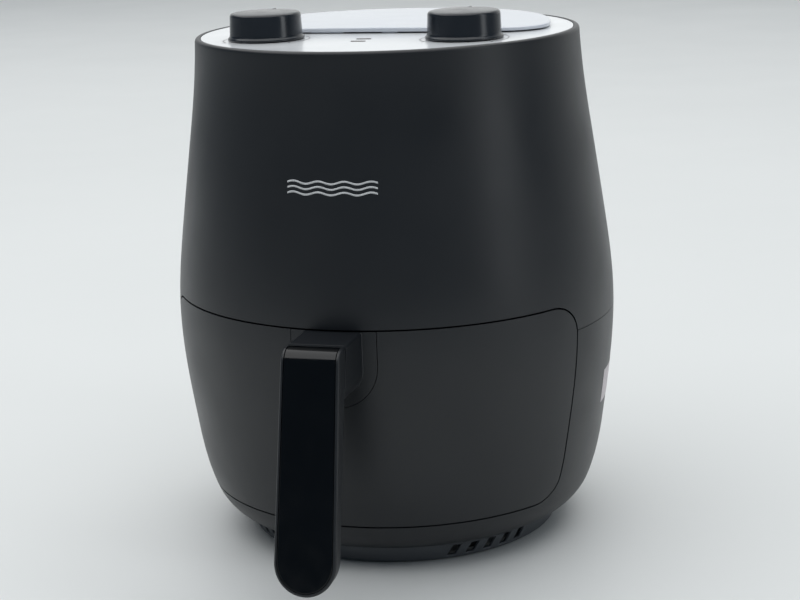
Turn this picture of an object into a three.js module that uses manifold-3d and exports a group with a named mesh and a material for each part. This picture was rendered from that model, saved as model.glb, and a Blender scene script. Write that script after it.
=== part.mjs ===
// Basket air fryer with a pull-out drawer, two dials and a raised air-inlet cover on top.
// Millimetres, +Z up, front towards -Y. The origin is the bottom centre of the whole object.
// The shells are turned about the body axis, which stands AXIS_Y behind the origin,
// because the handle reaches further forward than the round body reaches back.

import * as THREE from 'three';
import { mergeVertices } from 'three/addons/utils/BufferGeometryUtils.js';
import Module from 'manifold-3d';

const wasm = await Module();
wasm.setup();

// ---------- driving dimensions ----------

const GAP = 0.3;                 // clearance between neighbouring pieces
const WALL = 3;                  // moulded shell wall
const SHEET = 1.2;               // sheet-steel wall

const RIM_Z = 306.5;             // top of the body
const STEP_Z = 12;               // where the body meets the base ring
const SEAM_Z = 136.5;            // joint between the two housings
const BELLY_RADIUS = 135;        // widest radius of the body

const HANDLE_FRONT = 205;        // how far the handle's tip reaches in front of the axis
const AXIS_Y = (HANDLE_FRONT - BELLY_RADIUS) / 2;

// Outer skin above the base curl: height, radius and slope at each station.
const SKIN = [
  [28, 118.8, 0.4],
  [65, 127.8, 0.14],
  [139, BELLY_RADIUS, 0],
  [195, 129.9, -0.14],
  [251, 121.8, -0.148],
  [RIM_Z, 116, -0.04],
];
const CURL_TOP_Z = SKIN[0][0];
const CURL_TOP_R = SKIN[0][1];
const CURL_FOOT_R = 100.2;       // radius where the curl meets the base ring
const FLANGE_R = 84;             // inner edge of the flange under the lower housing

// Drawer front: the part of the skin inside a round-cornered window seen from the side.
const DRAWER_BACK_Y = -53.3;
const DRAWER_LOW_Z = 31.5;
const DRAWER_TOP_Z = 153.5;
const DRAWER_TOP_CORNER = 19;
const DRAWER_LOW_CORNER = 14;
const DRAWER_GAP = 0.5;          // half of the dark line round the drawer

// Handle, hanging from a U-shaped plate and leaning out towards its tip.
const HANDLE_TOP_Z = 153;
const PLATE_HALF = 25;
const NECK_HALF = 16.8;
const PLATE_ROUND_Z = 133;       // centre height of the plate's round end
const NECK_ROUND_Z = 132;        // and of the neck's
const GRIP_TOP_HALF = 16.6;
const GRIP_LOW_HALF = 17.8;
const GRIP_TOP_Y = -174.84;      // front plane where it would meet the top plane
const GRIP_LEAN = 0.232;         // how far the front plane moves out for each mm down
const GRIP_REAR_Y = -162;        // rear plane at the top
const GRIP_REAR_LEAN = 0.25;     // the rear leans out more, so the grip thins downwards
const GRIP_TIP_Z = 23;
const GRIP_BEND = 9;             // radius of the bend at the top
const FACE_DEPTH = 1.5;          // thickness of the gloss face
const FACE_INSET = 2;            // rim left round the gloss face
const FACE_REAR_Y = -165.6;      // where the gloss face ends on the level top

// Top panel, dials and air-inlet cover.
const PANEL_RADIUS = 112.5;
const LIP = 2;                   // rounding of the rim round the panel
const PANEL_TOP_Z = 306.2;
const PANEL_LOW_Z = 303.5;
const KNOB_X = 60;
const KNOB_Y = -49;
const KNOB_RADIUS = 21;
const KNOB_SKIRT = 22.6;
const KNOB_TOP_Z = 323;
const SHAFT_RADIUS = 3;
const LIGHT_Y = [-61, -49.5];
const LIGHT_HALF = 4.5;
const LIGHT_RADIUS = 1.5;
const COVER_FRONT_Y = -21;
const COVER_RADIUS = 99;
const COVER_CORNER = 26;
const COVER_LOW_Z = 308.2;
const COVER_TOP_Z = 313;
const COVER_DROP = 3.2;          // how far the dome falls at the middle of its sides

// Cooking space.
const PAN_RIM_R = 100.5;
const PAN_LOW_Z = 39;
const PAN_TOP_Z = 141.5;
const TRAY_Z = 51;
const TRAY_RADIUS = 82.5;
const CHAMBER_HALF = 103;
const CHAMBER_LOW_Z = 34;
const CHAMBER_TOP_Z = 155.7;
const CHAMBER_FRONT_Y = -50;
const CEILING_Z = 156;
const CEILING_HOLE = 92;
const REFLECTOR_Z = 158.3;
const REFLECTOR_TOP_Z = 212;

// Base.
const FOOT_RADIUS = 7.5;
const FOOT_CIRCLE = 78;
const RING_LOW_Z = 0.6;
const FLOOR_LOW_Z = 8.7;
const FLOOR_TOP_Z = 11.7;
const BASE_SCREW_CIRCLE = 89;
const CORNERS = {                // angles from +X of the foot and screw at each corner
  front_left: { foot: 225, screw: 240 },
  front_right: { foot: 315, screw: 300 },
  rear_right: { foot: 45, screw: 60 },
  rear_left: { foot: 135, screw: 120 },
};

// Facets of turned pieces.
const BODY_SEGMENTS = 48;
const INNER_SEGMENTS = 28;
const SMALL_SEGMENTS = 12;

// ---------- colours ----------

function material(color, roughness, metalness = 0) {
  return new THREE.MeshStandardMaterial({ color, roughness, metalness });
}

const SATIN_BLACK = material(0x1b1e20, 0.45);
const MATT_BLACK = material(0x17191a, 0.7);
const GLOSS_BLACK = material(0x07080a, 0.12);
const GLOSS_WHITE = material(0xdfe3ea, 0.2);
const NONSTICK = material(0x232426, 0.5, 0.2);
const STEEL = material(0xb4b6b8, 0.35, 0.9);
const DARK_STEEL = material(0x55534f, 0.45, 0.8);
const RUBBER = material(0x141414, 0.9);
const LENS = material(0x54504c, 0.2);
const INSULATOR = material(0xd9cfb8, 0.6);
const COPPER = material(0x9a5b38, 0.4, 0.8);

// ---------- helpers ----------

function solid(geometry) {
  const bare = geometry.index ? geometry.toNonIndexed() : geometry.clone();
  bare.deleteAttribute('normal');
  bare.deleteAttribute('uv');
  const merged = mergeVertices(bare, 1e-4);
  const vertProperties = new Float32Array(merged.attributes.position.array);
  const corners = merged.index.array;
  const faces = [];
  for (let i = 0; i < corners.length; i += 3) {
    const [a, b, c] = [corners[i], corners[i + 1], corners[i + 2]];
    if (a !== b && b !== c && c !== a) faces.push(a, b, c);
  }
  let triVerts = new Uint32Array(faces);
  let body = new wasm.Manifold(new wasm.Mesh({ numProp: 3, vertProperties, triVerts }));
  if (body.volume() < 0) {
    triVerts = triVerts.map((_, i) => triVerts[i - (i % 3) + 2 - (i % 3)]);
    body = new wasm.Manifold(new wasm.Mesh({ numProp: 3, vertProperties, triVerts }));
  }
  return body;
}

function geometryOf(body) {
  const mesh = body.getMesh();
  const geometry = new THREE.BufferGeometry();
  geometry.setAttribute('position', new THREE.BufferAttribute(mesh.vertProperties, 3));
  geometry.setIndex(new THREE.BufferAttribute(mesh.triVerts, 1));
  geometry.computeVertexNormals();
  return geometry;
}

const airFryer = new THREE.Group();
airFryer.position.y = AXIS_Y;

function piece(name, body, look) {
  const mesh = new THREE.Mesh(geometryOf(body), look);
  mesh.name = name;
  airFryer.add(mesh);
}

// A profile of [radius, height] points turned about Z.
function turned(points, segments = INNER_SEGMENTS) {
  const profile = points.map(([r, z]) => new THREE.Vector2(r, z));
  const geometry = new THREE.LatheGeometry(profile, segments);
  return solid(geometry.rotateX(Math.PI / 2));
}

function ringOf(points, segments) {
  return turned([...points, points[0]], segments);
}

// A shape in X and Y raised from one height to another.
function raised(shape, low, high, curveSegments = 5) {
  const options = { depth: high - low, bevelEnabled: false, curveSegments };
  return solid(new THREE.ExtrudeGeometry(shape, options).translate(0, 0, low));
}

// A shape in Y and Z carried across in X.
function acrossX(shape, from, to, curveSegments = 6) {
  const options = { depth: to - from, bevelEnabled: false, curveSegments };
  const geometry = new THREE.ExtrudeGeometry(shape, options).translate(0, 0, from);
  const turn = new THREE.Matrix4().makeBasis(
    new THREE.Vector3(0, 1, 0), new THREE.Vector3(0, 0, 1), new THREE.Vector3(1, 0, 0));
  return solid(geometry.applyMatrix4(turn));
}

// A shape in X and Z carried along Y.
function alongY(shape, from, to, curveSegments = 6) {
  const options = { depth: to - from, bevelEnabled: false, curveSegments };
  const geometry = new THREE.ExtrudeGeometry(shape, options).translate(0, 0, -to);
  return solid(geometry.rotateX(Math.PI / 2));
}

function box(low, high) {
  const size = high.map((value, i) => value - low[i]);
  const middle = high.map((value, i) => (value + low[i]) / 2);
  return solid(new THREE.BoxGeometry(...size).translate(...middle));
}

function rod(radius, low, high, x = 0, y = 0, segments = SMALL_SEGMENTS) {
  const geometry = new THREE.CylinderGeometry(radius, radius, high - low, segments);
  return solid(geometry.rotateX(Math.PI / 2).translate(x, y, (low + high) / 2));
}

function rodY(radius, from, to, x, z, segments = 12) {
  const geometry = new THREE.CylinderGeometry(radius, radius, to - from, segments);
  return solid(geometry.translate(x, (from + to) / 2, z));
}

function ringPoint(radius, degrees) {
  const angle = THREE.MathUtils.degToRad(degrees);
  return [radius * Math.cos(angle), radius * Math.sin(angle)];
}

function polygon(points) {
  return new THREE.Shape(points.map(([x, y]) => new THREE.Vector2(x, y)));
}

function circle(radius, x = 0, y = 0) {
  return new THREE.Shape().absarc(x, y, radius, 0, 2 * Math.PI);
}

function pill(half, radius, y) {
  const shape = new THREE.Shape();
  shape.absarc(half - radius, y, radius, -Math.PI / 2, Math.PI / 2);
  shape.absarc(radius - half, y, radius, Math.PI / 2, 1.5 * Math.PI);
  return shape;
}

// ---------- body skin ----------

function skinRadius(z) {
  let i = 0;
  while (i < SKIN.length - 2 && z > SKIN[i + 1][0]) i += 1;
  const [z0, r0, m0] = SKIN[i];
  const [z1, r1, m1] = SKIN[i + 1];
  const span = z1 - z0;
  const t = (z - z0) / span;
  const blend = t * t * (3 - 2 * t);
  const bow = span * t * (1 - t) * ((1 - t) * m0 - t * m1);
  return r0 + (r1 - r0) * blend + bow;
}

function skinPoints(from, to, steps, inset = 0) {
  const points = [];
  for (let i = 0; i <= steps; i += 1) {
    const z = from + (to - from) * i / steps;
    points.push([skinRadius(z) - inset, z]);
  }
  return points;
}

// The curl under the belly, from the base ring up to the skin.
function curlPoints(steps, inset = 0) {
  const curl = new THREE.CubicBezierCurve(
    new THREE.Vector2(CURL_FOOT_R - inset, STEP_Z + inset),
    new THREE.Vector2(108.6 - inset / 2, 12.2 + inset),
    new THREE.Vector2(116 - inset, 21 + inset / 2),
    new THREE.Vector2(CURL_TOP_R - inset, CURL_TOP_Z));
  return curl.getPoints(steps).map((p) => [p.x, p.y]);
}

// A solid that fills the body up to a distance inside (or outside) the skin.
function core(inset, low, high, steps = 8) {
  return turned([[0, low], ...skinPoints(low, high, steps, inset), [0, high]], BODY_SEGMENTS);
}

function drawerWindow(grow) {
  const back = DRAWER_BACK_Y + grow;
  const front = -BELLY_RADIUS - 40;
  const top = DRAWER_TOP_Z + grow;
  const low = DRAWER_LOW_Z - grow;
  const topCorner = DRAWER_TOP_CORNER + grow;
  const lowCorner = DRAWER_LOW_CORNER + grow;
  const shape = new THREE.Shape();
  shape.moveTo(front, low);
  shape.lineTo(back - lowCorner, low);
  shape.absarc(back - lowCorner, low + lowCorner, lowCorner, -Math.PI / 2, 0);
  shape.absarc(back - topCorner, top - topCorner, topCorner, 0, Math.PI / 2);
  shape.lineTo(front, top);
  return acrossX(shape, -BELLY_RADIUS - 10, BELLY_RADIUS + 10);
}

// ---------- housings and base ----------

function upperHousing() {
  const lipArc = [];
  for (let i = 1; i <= 3; i += 1) {
    const [dr, dz] = ringPoint(LIP, 30 * i);
    lipArc.push([SKIN[5][1] - LIP + dr, RIM_Z - LIP + dz]);
  }
  const shell = ringOf([
    ...skinPoints(SEAM_Z + GAP / 2, RIM_Z - LIP, 8),
    ...lipArc,
    [PANEL_RADIUS + GAP, RIM_Z],
    [PANEL_RADIUS + GAP, PANEL_LOW_Z - GAP],
    [107, PANEL_LOW_Z - GAP],
    [107, 301],
    ...skinPoints(296, SEAM_Z + GAP / 2, 4, WALL),
  ], BODY_SEGMENTS);
  const ventHole = box([-36, 60, 186], [36, 140, 230]);
  return shell.subtract(drawerWindow(DRAWER_GAP)).subtract(ventHole);
}

function lowerHousing() {
  const shell = ringOf([
    ...curlPoints(4),
    ...skinPoints(CURL_TOP_Z, SEAM_Z - GAP / 2, 5).slice(1),
    ...skinPoints(SEAM_Z - GAP / 2, CURL_TOP_Z, 4, WALL),
    ...curlPoints(3, WALL).reverse().slice(1),
    [FLANGE_R, STEP_Z + WALL],
    [FLANGE_R, STEP_Z],
  ], BODY_SEGMENTS);
  let body = shell.subtract(drawerWindow(DRAWER_GAP));
  body = body.subtract(atGland(rod(7.3, -10, 10)));
  for (const [x, y] of baseScrewPlaces()) body = body.subtract(rod(2.3, 5, 20, x, y, 12));
  return body;
}

function baseScrewPlaces() {
  const angles = Object.values(CORNERS).map(({ screw }) => screw);
  return angles.map((degrees) => ringPoint(BASE_SCREW_CIRCLE, degrees));
}

function baseCover() {
  let body = turned([
    [0, FLOOR_LOW_Z],
    [95.2, FLOOR_LOW_Z],
    [93.7, RING_LOW_Z],
    [96.2, RING_LOW_Z],
    [98.9, FLOOR_TOP_Z],
    [0, FLOOR_TOP_Z],
  ], BODY_SEGMENTS);
  const slot = new THREE.BoxGeometry(5, 12, 5.6);
  for (const side of [-1, 1]) {
    for (let i = 0; i < 5; i += 1) {
      const azimuth = THREE.MathUtils.degToRad(side * (33 + 7 * i));
      const cut = slot.clone().rotateY(side * 0.45).translate(0, -95.2, 5.6).rotateZ(azimuth);
      body = body.subtract(solid(cut));
    }
  }
  for (let i = -2; i <= 2; i += 1) {
    body = body.subtract(box([-26, 12 * i - 2, 5], [26, 12 * i + 2, 15]));
  }
  for (const [x, y] of baseScrewPlaces()) body = body.subtract(rod(2.3, 5, 20, x, y, 12));
  return body;
}

function foot(x, y) {
  const profile = [[0, 0], [6.6, 0], [FOOT_RADIUS, 0.9], [FOOT_RADIUS, 8], [0, 8]];
  return turned(profile, SMALL_SEGMENTS).translate([x, y, 0]);
}

function baseScrew(x, y) {
  const profile = [[0, 5.4], [3, 5.6], [3.6, 8], [2, 8], [2, 16.5], [0, 17.5]];
  return turned(profile, 8).translate([x, y, 0]);
}

function cordGland() {
  const profile = [[3.6, -2.9], [9.2, -2.9], [10, -2.1], [10, 0], [7, 0], [7, 6], [3.6, 6]];
  return atGland(ringOf(profile, SMALL_SEGMENTS));
}

// Turns a piece made about Z to stand square on the skin at the back, where the cord leaves.
function atGland(body) {
  const slopeDegrees = 14;
  return body.rotate([90 - slopeDegrees, 0, 0]).translate([0, skinRadius(48) + 2 * GAP, 48]);
}

// ---------- top panel, dials and inlet ----------

// The D-shaped outline of the inlet cover: a straight front, round corners and a round back.
function coverOutline(inset) {
  const front = COVER_FRONT_Y + inset;
  const radius = COVER_RADIUS - inset;
  const corner = COVER_CORNER - inset;
  const cornerX = Math.sqrt((radius - corner) ** 2 - (front + corner) ** 2);
  const meet = Math.atan2(front + corner, cornerX);
  const shape = new THREE.Shape();
  shape.absarc(cornerX, front + corner, corner, -Math.PI / 2, meet);
  shape.absarc(0, 0, radius, meet, Math.PI - meet);
  shape.absarc(-cornerX, front + corner, corner, Math.PI - meet, 1.5 * Math.PI);
  return shape;
}

function topPanel() {
  let body = raised(circle(PANEL_RADIUS), PANEL_LOW_Z, PANEL_TOP_Z, BODY_SEGMENTS / 2);
  body = body.subtract(raised(coverOutline(16), 300, 310));
  for (const x of [-KNOB_X, KNOB_X]) body = body.subtract(rod(5.5, 300, 310, x, KNOB_Y));
  for (const y of LIGHT_Y) {
    body = body.subtract(raised(pill(LIGHT_HALF + GAP, LIGHT_RADIUS + GAP, y), 300, 310, 4));
  }
  return body;
}

function inletCover() {
  const middleY = 39;
  const reach = [110, 68];
  const profile = [[0, COVER_LOW_Z]];
  for (const rho of [1.14, 0.95, 0.75, 0.5, 0.25, 0]) {
    if (rho === 1.14) profile.push([rho, COVER_LOW_Z]);
    profile.push([rho, COVER_TOP_Z - COVER_DROP * rho * rho]);
  }
  const dome = turned(profile, 44).scale([reach[0], reach[1], 1]).translate([0, middleY, 0]);
  return dome.intersect(raised(coverOutline(0), COVER_LOW_Z - 1, COVER_TOP_Z + 1, 10));
}

function inletGrille() {
  const low = PANEL_TOP_Z + GAP;
  const high = COVER_LOW_Z - GAP;
  let body = raised(coverOutline(5), low, high).subtract(raised(coverOutline(9), low - 1, high + 1));
  for (const x of [-36, 0, 36]) {
    body = body.subtract(box([x - 12, -20, low + 0.5], [x + 12, -8, high + 1]));
  }
  return body;
}

function light(y) {
  return raised(pill(LIGHT_HALF, LIGHT_RADIUS, y), 302, RIM_Z, 4);
}

function knob(x) {
  const low = PANEL_TOP_Z + 0.6;
  const bore = SHAFT_RADIUS + 0.4;
  const body = turned([
    [0, 317.3], [bore, 317.3], [bore, low], [KNOB_SKIRT, low], [KNOB_SKIRT, low + 1.4],
    [KNOB_RADIUS + 0.4, low + 2.4], [KNOB_RADIUS, KNOB_TOP_Z - 3.2],
    [KNOB_RADIUS - 0.9, KNOB_TOP_Z - 1.4], [KNOB_RADIUS - 2.8, KNOB_TOP_Z - 0.5],
    [0, KNOB_TOP_Z],
  ], 24);
  const notch = box([-0.8, 9, KNOB_TOP_Z - 1.3], [0.8, 19.4, KNOB_TOP_Z + 1]);
  return body.subtract(notch).translate([x, KNOB_Y, 0]);
}

function dialShaft(x, low) {
  return rod(SHAFT_RADIUS, low, 317, x, KNOB_Y, 12);
}

// ---------- inside the top ----------

function controlBracket() {
  let body = box([-84, -70, 297], [84, -32, 299]);
  for (const x of [-KNOB_X, KNOB_X]) body = body.subtract(rod(3.6, 290, 305, x, KNOB_Y));
  return body;
}

function thermostat() {
  const can = rod(17, 274, 296.5, -KNOB_X, KNOB_Y, 24);
  const tabs = box([-KNOB_X - 23, KNOB_Y - 5, 278], [-KNOB_X + 23, KNOB_Y + 5, 281]);
  return can.add(tabs).subtract(rod(3.4, 286, 300, -KNOB_X, KNOB_Y));
}

function timer() {
  const frame = box([KNOB_X - 22, KNOB_Y - 20, 270], [KNOB_X + 22, KNOB_Y + 20, 296.5]);
  return frame.subtract(rod(3.4, 286, 300, KNOB_X, KNOB_Y));
}

function timerBell() {
  const profile = [[0, 260], [12, 261], [17, 264], [17.6, 269.4], [0, 269.4]];
  return turned(profile, 24).translate([KNOB_X, KNOB_Y, 0]);
}

function motorBracket() {
  let body = rod(40, 232, 234, 0, 0, 32);
  for (const degrees of [30, 150, 270]) {
    const arm = new THREE.BoxGeometry(74, 10, 2).translate(71, 0, 233);
    body = body.add(solid(arm.rotateZ(THREE.MathUtils.degToRad(degrees))));
    const [x, y] = ringPoint(107, degrees);
    body = body.add(rod(3.5, REFLECTOR_Z, 233, x, y, 12));
  }
  return body.subtract(rod(9, 225, 240));
}

function motor() {
  const laminations = box([-31, -25, 238], [31, 25, 256]);
  const coil = box([12, -29, 241], [27, 29, 253]);
  const bearings = rod(13, 234.3, 262, 0, 0, 24);
  return laminations.add(coil).add(bearings).subtract(rod(3.4, 230, 265));
}

// ---------- cooking chamber ----------

function chamberOutline(half, front) {
  const shape = new THREE.Shape();
  shape.moveTo(half, front);
  shape.lineTo(half, 0);
  shape.absarc(0, 0, half, 0, Math.PI);
  shape.lineTo(-half, front);
  return shape;
}

function cookingChamber() {
  const wall = chamberOutline(CHAMBER_HALF + SHEET, CHAMBER_FRONT_Y);
  const space = chamberOutline(CHAMBER_HALF, CHAMBER_FRONT_Y - 10);
  const outside = raised(wall, CHAMBER_LOW_Z, CHAMBER_TOP_Z, 18);
  return outside.subtract(raised(space, CHAMBER_LOW_Z + SHEET, CHAMBER_TOP_Z + 5, 18));
}

function chamberCeiling() {
  const plate = core(WALL + 0.8, CEILING_Z, CEILING_Z + 2, 1);
  return plate.subtract(rod(CEILING_HOLE, 150, 165, 0, 0, INNER_SEGMENTS));
}

function rail(side) {
  const near = 50 * side;
  const far = 58 * side;
  return box([Math.min(near, far), -48, 35.5], [Math.max(near, far), 70, 38.5]);
}

const ELEMENT_LEGS = [[80, 0], [60, 0]];

function heatReflector() {
  const top = REFLECTOR_TOP_Z;
  let body = ringOf([
    [99, REFLECTOR_Z], [99, REFLECTOR_Z + SHEET], [94, REFLECTOR_Z + SHEET], [91, 206],
    [85, top], [8, top], [8, top - SHEET], [84.4, top - SHEET], [89.8, 205.4],
    [92.8, REFLECTOR_Z],
  ]);
  for (const [x, y] of ELEMENT_LEGS) body = body.subtract(rod(4.6, 200, 220, x, y, 12));
  return body;
}

// A tube that comes down, runs round twice on a shrinking circle and goes back up.
function heatingElement() {
  const level = 172;
  const bend = 9;
  const [outer, inner] = ELEMENT_LEGS.map(([x]) => x);
  const points = [];
  points.push([outer, 0, 222], [outer, 0, 200], [outer, 0, level + bend]);
  points.push([outer - 0.6, 3, level + 2.4], [outer - 1.5, bend, level]);
  const turns = 22;
  for (let i = 1; i < turns; i += 1) {
    const share = i / turns;
    const radius = outer + (inner - outer) * share;
    const [x, y] = ringPoint(radius, 14 + share * 692);
    points.push([x, y, level]);
  }
  points.push([inner + 0.6, -bend, level], [inner + 0.3, -3, level + 2.4]);
  points.push([inner, 0, level + bend], [inner, 0, 200], [inner, 0, 222]);
  const path = new THREE.CatmullRomCurve3(points.map((p) => new THREE.Vector3(...p)));
  const section = new THREE.Shape();
  section.absarc(0, 0, 3.2, 0, 2 * Math.PI);
  const options = { steps: 50, extrudePath: path, curveSegments: 4, bevelEnabled: false };
  return solid(new THREE.ExtrudeGeometry(section, options));
}

function elementGuard() {
  const low = 160.2;
  const high = 161.6;
  const hoop = (outer, inner) => ringOf(
    [[outer, low], [outer, high], [inner, high], [inner, low]], 24);
  let body = hoop(91.2, 88).add(hoop(48, 45.5));
  for (let i = 0; i < 3; i += 1) {
    const spoke = new THREE.BoxGeometry(178, 2, 1).translate(0, 0, (low + high) / 2);
    body = body.add(solid(spoke.rotateZ(i * Math.PI / 3)));
  }
  return body;
}

function bladedWheel(radius, low, high, blades) {
  let body = rod(radius, high - 1.2, high, 0, 0, INNER_SEGMENTS).add(rod(8, low, high));
  for (let i = 0; i < blades; i += 1) {
    const length = radius - 15;
    const blade = new THREE.BoxGeometry(length, 1.2, high - low - 1);
    blade.translate(length / 2 + 12, 0, (low + high) / 2 - 0.5);
    body = body.add(solid(blade.rotateZ(i * 2 * Math.PI / blades)));
  }
  return body.subtract(rod(3.3, low - 5, high + 5, 0, 0, 12));
}

function fanNut() {
  const nut = rod(5.5, 180, 185, 0, 0, 6);
  return nut.subtract(rod(3.3, 178, 190, 0, 0, 12));
}

function exhaustDuct() {
  const outside = box([-32, 97, 190], [32, 117.5, 226]);
  return outside.subtract(box([-30.8, 90, 191.2], [30.8, 130, 224.8]));
}

function exhaustVent() {
  const skin = core(0, 180, 236, 3).subtract(core(WALL, 179, 237, 3));
  let body = skin.intersect(box([-35.5, 60, 186.5], [35.5, 140, 229.5]));
  for (let i = 0; i < 5; i += 1) {
    const z = 191 + 7.4 * i;
    body = body.subtract(box([-31, 60, z], [31, 140, z + 4]));
  }
  return body;
}

// ---------- drawer ----------

// A U shape seen from the front, with its round end centred at roundZ.
function uShape(half, roundZ) {
  const shape = new THREE.Shape();
  shape.moveTo(-half, HANDLE_TOP_Z + 10);
  shape.lineTo(-half, roundZ);
  shape.absarc(0, roundZ, half, Math.PI, 2 * Math.PI);
  shape.lineTo(half, HANDLE_TOP_Z + 10);
  return shape;
}

function plateShape(grow) {
  return uShape(PLATE_HALF + grow, PLATE_ROUND_Z);
}

function drawerSkin() {
  const skin = core(0, 26, 160, 6).subtract(core(WALL, 25, 161, 6));
  return skin.intersect(drawerWindow(-DRAWER_GAP));
}

function drawerFront() {
  return drawerSkin().subtract(alongY(plateShape(GAP), -140, -100, 12));
}

function handlePlate() {
  let body = drawerSkin().intersect(alongY(plateShape(0), -140, -100, 12));
  for (const z of HANDLE_SCREW_Z) body = body.subtract(rodY(2.3, -140, -120, 0, z));
  return body;
}

function drawerInnerCover() {
  const low = 34;
  const high = 151;
  const hub = 101.6;
  const ring = 104;
  const sheet = box([-130, -58.3, low], [130, -55.5, high]).intersect(core(WALL + 1, low, high));
  const hoop = ringOf([[ring, low], [ring, high], [hub, high], [hub, low]], 48);
  const front = box([-130, -110, low], [130, -55.5, high]);
  const opened = sheet.subtract(rod(ring - 0.5, low - 1, high + 1, 0, 0, 48));
  return opened.add(hoop.intersect(front));
}

function pan() {
  return turned([
    [0, PAN_LOW_Z], [74, PAN_LOW_Z], [82, 41.5], [86, 48], [97, 138.6],
    [PAN_RIM_R, 139.6], [PAN_RIM_R, PAN_TOP_Z], [95.6, PAN_TOP_Z],
    [84.3, 49], [80.6, 43.6], [73.5, 41], [0, 41],
  ], 36);
}

function crisperTray() {
  let body = turned([
    [0, TRAY_Z], [80.5, TRAY_Z], [TRAY_RADIUS, TRAY_Z + 2], [TRAY_RADIUS, TRAY_Z + 8],
    [TRAY_RADIUS - 1.5, TRAY_Z + 8], [TRAY_RADIUS - 1.5, TRAY_Z + 2.7], [80, TRAY_Z + 1.5],
    [0, TRAY_Z + 1.5],
  ], INNER_SEGMENTS);
  const rings = [[62, 12, 26], [34, 6, 22]];
  for (const [radius, count, length] of rings) {
    for (let i = 0; i < count; i += 1) {
      const slot = new THREE.BoxGeometry(length, 4, 10).translate(radius, 0, TRAY_Z);
      body = body.subtract(solid(slot.rotateZ((i + 0.5) * 2 * Math.PI / count)));
    }
  }
  return body.subtract(rod(9, TRAY_Z - 5, TRAY_Z + 5));
}

function trayPad(degrees) {
  const block = new THREE.BoxGeometry(1.1, 14, 6).translate(TRAY_RADIUS + 0.85, 0, TRAY_Z + 4);
  return solid(block.rotateZ(THREE.MathUtils.degToRad(degrees)));
}

// ---------- handle ----------

const HANDLE_SCREW_Z = [122, 142];

function gripFrontY(z) {
  return GRIP_TOP_Y - GRIP_LEAN * (HANDLE_TOP_Z - z);
}

function gripRearY(z) {
  return GRIP_REAR_Y - GRIP_REAR_LEAN * (HANDLE_TOP_Z - z);
}

// The grip seen from the side: level top, bend, and a front that leans out downwards.
// depth moves the top and front in from the outer surface, and back moves the rear out.
function gripSide(depth, low, back) {
  const lean = Math.atan(GRIP_LEAN);
  const bendZ = HANDLE_TOP_Z - GRIP_BEND;
  const bendY = gripFrontY(bendZ) + GRIP_BEND / Math.cos(lean);
  const radius = GRIP_BEND - depth;
  const shape = new THREE.Shape();
  const top = HANDLE_TOP_Z - depth;
  shape.moveTo(gripRearY(top) + back, top);
  shape.lineTo(bendY, top);
  shape.absarc(bendY, bendZ, radius, Math.PI / 2, Math.PI - lean);
  shape.lineTo(gripFrontY(low) + depth / Math.cos(lean), low);
  shape.lineTo(gripRearY(low) + back, low);
  return shape;
}

// The grip seen from the front: slightly wider downwards, with a full round end.
function gripOutline(inset) {
  const top = GRIP_TOP_HALF - inset;
  const low = GRIP_LOW_HALF - inset;
  const roundZ = GRIP_TIP_Z + GRIP_LOW_HALF;
  const shape = new THREE.Shape();
  shape.moveTo(-top, HANDLE_TOP_Z + 5);
  shape.lineTo(-low, roundZ);
  shape.absarc(0, roundZ, low, Math.PI, 2 * Math.PI);
  shape.lineTo(top, HANDLE_TOP_Z + 5);
  return shape;
}

function gripBlock(depth = 0) {
  const back = depth === 0 ? 0 : 8;
  const reach = 30 + back;
  const side = acrossX(gripSide(depth, 15 - back, back), -reach, reach);
  return depth === 0 ? side.intersect(alongY(gripOutline(0), -230, -150, 10)) : side;
}

function faceZone(grow) {
  const wrap = alongY(gripOutline(FACE_INSET - grow), -230, -150, 10);
  const rear = FACE_REAR_Y + grow;
  const ahead = box([-30, -230, 0], [30, rear, 170]);
  return wrap.intersect(ahead);
}

function handleGrip() {
  const pocket = faceZone(GAP).subtract(gripBlock(FACE_DEPTH + GAP));
  return gripBlock().subtract(pocket);
}

function handleFace() {
  return gripBlock().intersect(faceZone(0)).subtract(gripBlock(FACE_DEPTH));
}

function handleNeck() {
  const block = alongY(uShape(NECK_HALF, NECK_ROUND_Z), -185, -110, 12);
  const level = box([-40, -200, 100], [40, -100, HANDLE_TOP_Z]);
  const outside = core(-GAP, 90, 170);
  const rearTop = gripRearY(HANDLE_TOP_Z + 5) + GAP;
  const rearLow = gripRearY(90) + GAP;
  const beyond = acrossX(polygon([
    [rearTop, HANDLE_TOP_Z + 5], [-260, HANDLE_TOP_Z + 5], [-260, 90], [rearLow, 90],
  ]), -40, 40);
  let body = block.intersect(level).subtract(outside).subtract(beyond);
  for (const z of HANDLE_SCREW_Z) body = body.subtract(rodY(2.3, -150, -120, 0, z));
  return body;
}

function handleScrew(z) {
  const seat = -skinRadius(z) + WALL + 4 * GAP;
  const head = rodY(4, seat, seat + 2.6, 0, z);
  return head.add(rodY(2, -148, seat + 1, 0, z));
}

// ---------- drawer switch ----------

const SWITCH_X = -112;
const SWITCH_Z = 109;

function drawerSwitch() {
  const body = box([SWITCH_X - 6, -44, SWITCH_Z - 9], [SWITCH_X + 6, -24, SWITCH_Z + 9]);
  return body.subtract(rodY(2.3, -46, -34, SWITCH_X, SWITCH_Z));
}

// ---------- the assembly ----------

piece('upper_housing', upperHousing(), SATIN_BLACK);
piece('lower_housing', lowerHousing(), SATIN_BLACK);
piece('base_cover', baseCover(), MATT_BLACK);
for (const [corner, angle] of Object.entries(CORNERS)) {
  piece(`foot_${corner}`, foot(...ringPoint(FOOT_CIRCLE, angle.foot)), RUBBER);
  piece(`base_screw_${corner}`, baseScrew(...ringPoint(BASE_SCREW_CIRCLE, angle.screw)), STEEL);
}
piece('cord_gland', cordGland(), MATT_BLACK);
piece('terminal_block', box([-14, 79, 15], [14, 94, 28]), INSULATOR);

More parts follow.
